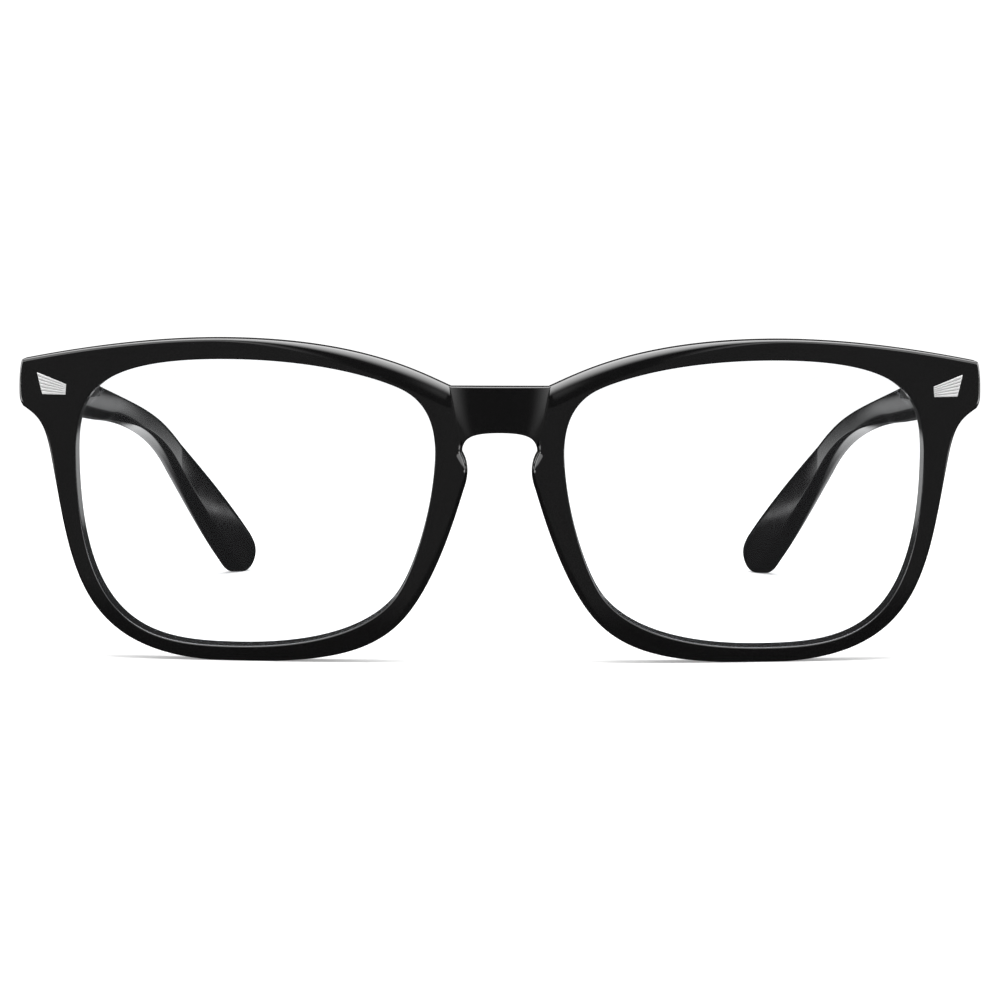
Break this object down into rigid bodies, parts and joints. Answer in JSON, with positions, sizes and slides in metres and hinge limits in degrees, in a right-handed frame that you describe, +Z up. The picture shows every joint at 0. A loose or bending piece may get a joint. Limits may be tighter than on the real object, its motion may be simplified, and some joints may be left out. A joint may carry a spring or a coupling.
{
  "type": "blue light glasses",
  "caption": "Full-rim black blue light glasses with clear lenses, silver corner plaques, keyhole-step bridge and sprung folding temples.",
  "frame": {"origin": "centre of the bounding box, on the table the open glasses stand on", "axes": "+X to the wearer's left, +Y back along the temples towards the ears, +Z up"},
  "size_m": [0.14, 0.1474, 0.0469],
  "materials": {
    "black_plastic": "gloss",
    "lens_plastic": "gloss",
    "plaque_metal": "satin",
    "hinge_metal": "satin",
    "screw_steel": "gloss",
    "spring_steel": "satin",
    "core_wire": "satin"
  },
  "bodies": {
    "front": {"front_frame": "black_plastic", "left_lens": "lens_plastic", "left_nose_pad": "black_plastic", "left_plaque": "plaque_metal", "left_front_hinge_leaf": "hinge_metal", "left_hinge_screw": "screw_steel", "right_lens": "lens_plastic", "right_nose_pad": "black_plastic", "right_plaque": "plaque_metal", "right_front_hinge_leaf": "hinge_metal", "right_hinge_screw": "screw_steel"},
    "left_slider": {"left_hinge_slider": "hinge_metal", "left_spring_stop": "hinge_metal", "left_hinge_spring": "spring_steel"},
    "left_temple": {"left_temple": "black_plastic", "left_temple_core": "core_wire", "left_hinge_housing": "hinge_metal"},
    "right_slider": {"right_hinge_slider": "hinge_metal", "right_spring_stop": "hinge_metal", "right_hinge_spring": "spring_steel"},
    "right_temple": {"right_temple": "black_plastic", "right_temple_core": "core_wire", "right_hinge_housing": "hinge_metal"}
  },
  "joints": [
    {"name": "left_temple_fold", "type": "hinge", "parent": "front", "child": "left_slider", "pos_m": [0.064, -0.05529, 0.0394], "axis": [0, 0, 1], "range_deg": [0, 86]},
    {"name": "left_spring_slide", "type": "slide", "parent": "left_slider", "child": "left_temple", "axis": [0, 1, 0], "range_m": [0, 0.0012], "deforming": ["left_hinge_spring"]},
    {"name": "right_temple_fold", "type": "hinge", "parent": "front", "child": "right_slider", "pos_m": [-0.064, -0.05529, 0.0394], "axis": [0, 0, -1], "range_deg": [0, 81]},
    {"name": "right_spring_slide", "type": "slide", "parent": "right_slider", "child": "right_temple", "axis": [0, 1, 0], "range_m": [0, 0.0012], "deforming": ["right_hinge_spring"]}
  ]
}
